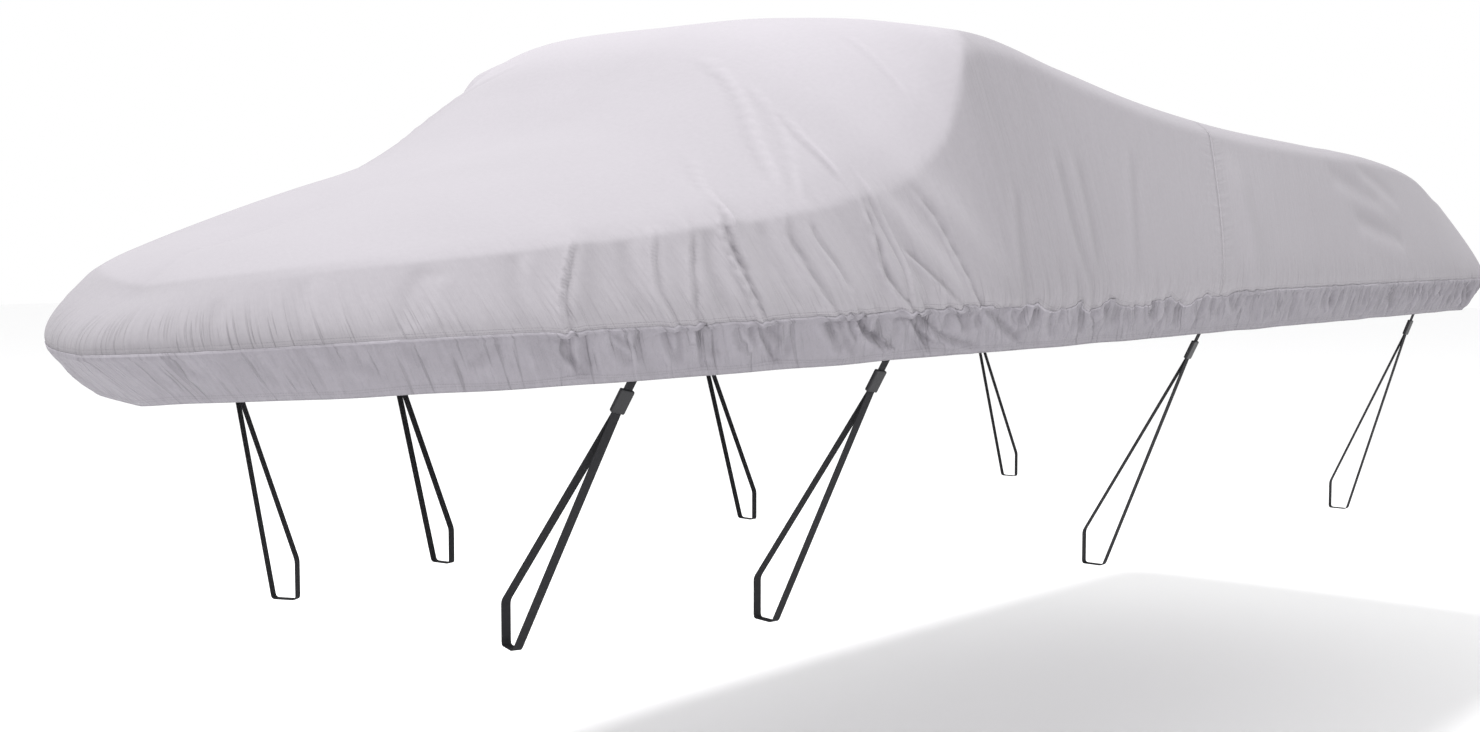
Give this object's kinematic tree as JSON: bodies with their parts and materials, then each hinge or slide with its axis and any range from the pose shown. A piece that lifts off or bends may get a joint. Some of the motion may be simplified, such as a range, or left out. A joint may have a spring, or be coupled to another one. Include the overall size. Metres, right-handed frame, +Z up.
{
  "type": "fitted boat cover",
  "caption": "Fitted storage cover for a small motor boat, drawn tight over the windscreen, with a gathered skirt and buckled tie-down straps round a trailer's rails.",
  "frame": {"origin": "under the cover's top on its centre line, where the boat's windscreen holds the cloth up", "axes": "+X aft along the boat, +Y to starboard, +Z up"},
  "size_m": [5.0455, 1.9723, 1.4489],
  "materials": {
    "canopy_cloth": "matte coated polyester canvas",
    "skirt_cloth": "matte coated polyester canvas",
    "webbing": "woven black webbing",
    "buckle_plastic": "moulded black plastic"
  },
  "bodies": {
    "root": {"buckle_port_1": "buckle_plastic", "buckle_port_2": "buckle_plastic", "buckle_port_3": "buckle_plastic", "buckle_port_4": "buckle_plastic", "buckle_starboard_1": "buckle_plastic", "buckle_starboard_2": "buckle_plastic", "buckle_starboard_3": "buckle_plastic", "buckle_starboard_4": "buckle_plastic", "canopy_front": "canopy_cloth", "canopy_rear": "canopy_cloth", "skirt": "skirt_cloth", "strap_port_1": "webbing", "strap_port_2": "webbing", "strap_port_3": "webbing", "strap_port_4": "webbing", "strap_starboard_1": "webbing", "strap_starboard_2": "webbing", "strap_starboard_3": "webbing", "strap_starboard_4": "webbing", "tab_port_1": "webbing", "tab_port_2": "webbing", "tab_port_3": "webbing", "tab_port_4": "webbing", "tab_starboard_1": "webbing", "tab_starboard_2": "webbing", "tab_starboard_3": "webbing", "tab_starboard_4": "webbing"}
  },
  "joints": []
}
